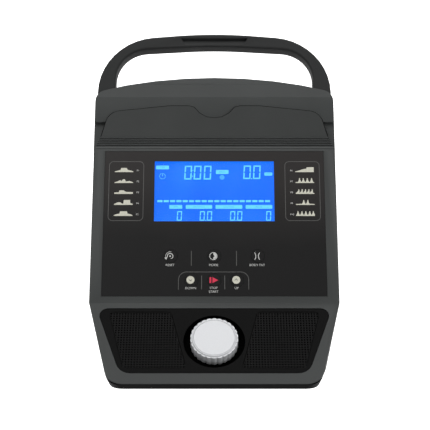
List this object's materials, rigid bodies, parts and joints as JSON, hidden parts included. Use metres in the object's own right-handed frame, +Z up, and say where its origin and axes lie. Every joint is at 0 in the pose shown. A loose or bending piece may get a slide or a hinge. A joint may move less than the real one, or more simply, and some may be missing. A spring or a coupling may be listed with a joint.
{
  "type": "elliptical trainer console",
  "caption": "Folded display console of an elliptical trainer, with a grab handle, tablet rest, backlit screen, press keys, speaker grilles and a turning dial.",
  "frame": {"origin": "centre of the mast mounting plate's outer face, on the back of the console", "axes": "+Z up with the console mounted and leaning back 25 degrees, -Y towards the user, +X to the user's right"},
  "size_m": [0.2472, 0.2172, 0.331],
  "materials": {
    "grey_shell": "dark grey, fine texture",
    "black_shell": "black, fine texture",
    "handle": "dark grey, satin",
    "overlay": "near-black printed film",
    "key_print": "near-black printed film",
    "lens": "clear",
    "screen": "lit blue display",
    "light_plastic": "white moulding",
    "board": "green circuit board",
    "chip": "black",
    "panel": "black, satin",
    "grille": "black, perforated look",
    "basket": "pressed steel",
    "cone": "black paper cone",
    "magnet": "ferrite",
    "silver": "silver coated",
    "steel": "turned steel",
    "zinc": "zinc plated",
    "rubber": "black",
    "lead": "insulated lead",
    "ribbon": "flat ribbon"
  },
  "bodies": {
    "console": {"front_housing": "grey_shell", "tablet_rest": "grey_shell", "rear_cover": "black_shell", "handle_front": "handle", "handle_back": "handle", "control_overlay": "overlay", "screen_lens": "lens", "screen_glass": "screen", "screen_backlight": "light_plastic", "screen_frame": "light_plastic", "main_board": "board", "encoder_board": "board", "switch_reset": "chip", "switch_mode": "chip", "switch_body_fat": "chip", "switch_down": "chip", "switch_start_stop": "chip", "switch_up": "chip", "controller_chip": "chip", "beeper": "chip", "speaker_panel": "panel", "grille_left": "grille", "grille_right": "grille", "speaker_basket_left": "basket", "speaker_basket_right": "basket", "speaker_cone_left": "cone", "speaker_cone_right": "cone", "speaker_magnet_left": "magnet", "speaker_magnet_right": "magnet", "encoder_nut": "steel", "encoder_body": "zinc", "mount_plate": "zinc", "board_screw_1": "zinc", "board_screw_2": "zinc", "board_screw_3": "zinc", "board_screw_4": "zinc", "handle_screw_left": "zinc", "handle_screw_right": "zinc", "cover_screw_top_left": "zinc", "cover_screw_top_right": "zinc", "cover_screw_low_left": "zinc", "cover_screw_low_right": "zinc", "cable_grommet": "rubber", "speaker_lead_left": "lead", "speaker_lead_right": "lead", "encoder_ribbon": "ribbon"},
    "push_disc": {"encoder_push_disc": "zinc"},
    "dial": {"dial_knob": "silver", "dial_cap": "silver", "encoder_shaft": "steel"},
    "reset_key": {"key_reset": "key_print"},
    "mode_key": {"key_mode": "key_print"},
    "body_fat_key": {"key_body_fat": "key_print"},
    "down_key": {"key_down": "key_print"},
    "start_stop_key": {"key_start_stop": "key_print"},
    "up_key": {"key_up": "key_print"}
  },
  "joints": [
    {"name": "dial_press", "type": "slide", "parent": "console", "child": "push_disc", "axis": [0, 0.6561, -0.7547], "range_m": [0, 0.0005], "stiffness_N_per_m": 5000, "springref_m": -0.0003},
    {"name": "dial_turn", "type": "hinge", "parent": "push_disc", "child": "dial", "pos_m": [0, -0.11169, -0.06258], "axis": [0, -0.6561, 0.7547], "continuous": true},
    {"name": "reset_press", "type": "slide", "parent": "console", "child": "reset_key", "axis": [0, 0.9063, -0.4226], "range_m": [0, 0.0006], "stiffness_N_per_m": 3300, "springref_m": -0.0003},
    {"name": "mode_press", "type": "slide", "parent": "console", "child": "mode_key", "axis": [0, 0.9063, -0.4226], "range_m": [0, 0.0006], "stiffness_N_per_m": 3300, "springref_m": -0.0003},
    {"name": "body_fat_press", "type": "slide", "parent": "console", "child": "body_fat_key", "axis": [0, 0.9063, -0.4226], "range_m": [0, 0.0006], "stiffness_N_per_m": 3300, "springref_m": -0.0003},
    {"name": "down_press", "type": "slide", "parent": "console", "child": "down_key", "axis": [0, 0.9063, -0.4226], "range_m": [0, 0.0006], "stiffness_N_per_m": 3300, "springref_m": -0.0003},
    {"name": "start_stop_press", "type": "slide", "parent": "console", "child": "start_stop_key", "axis": [0, 0.9063, -0.4226], "range_m": [0, 0.0006], "stiffness_N_per_m": 3300, "springref_m": -0.0003},
    {"name": "up_press", "type": "slide", "parent": "console", "child": "up_key", "axis": [0, 0.9063, -0.4226], "range_m": [0, 0.0006], "stiffness_N_per_m": 3300, "springref_m": -0.0003}
  ]
}
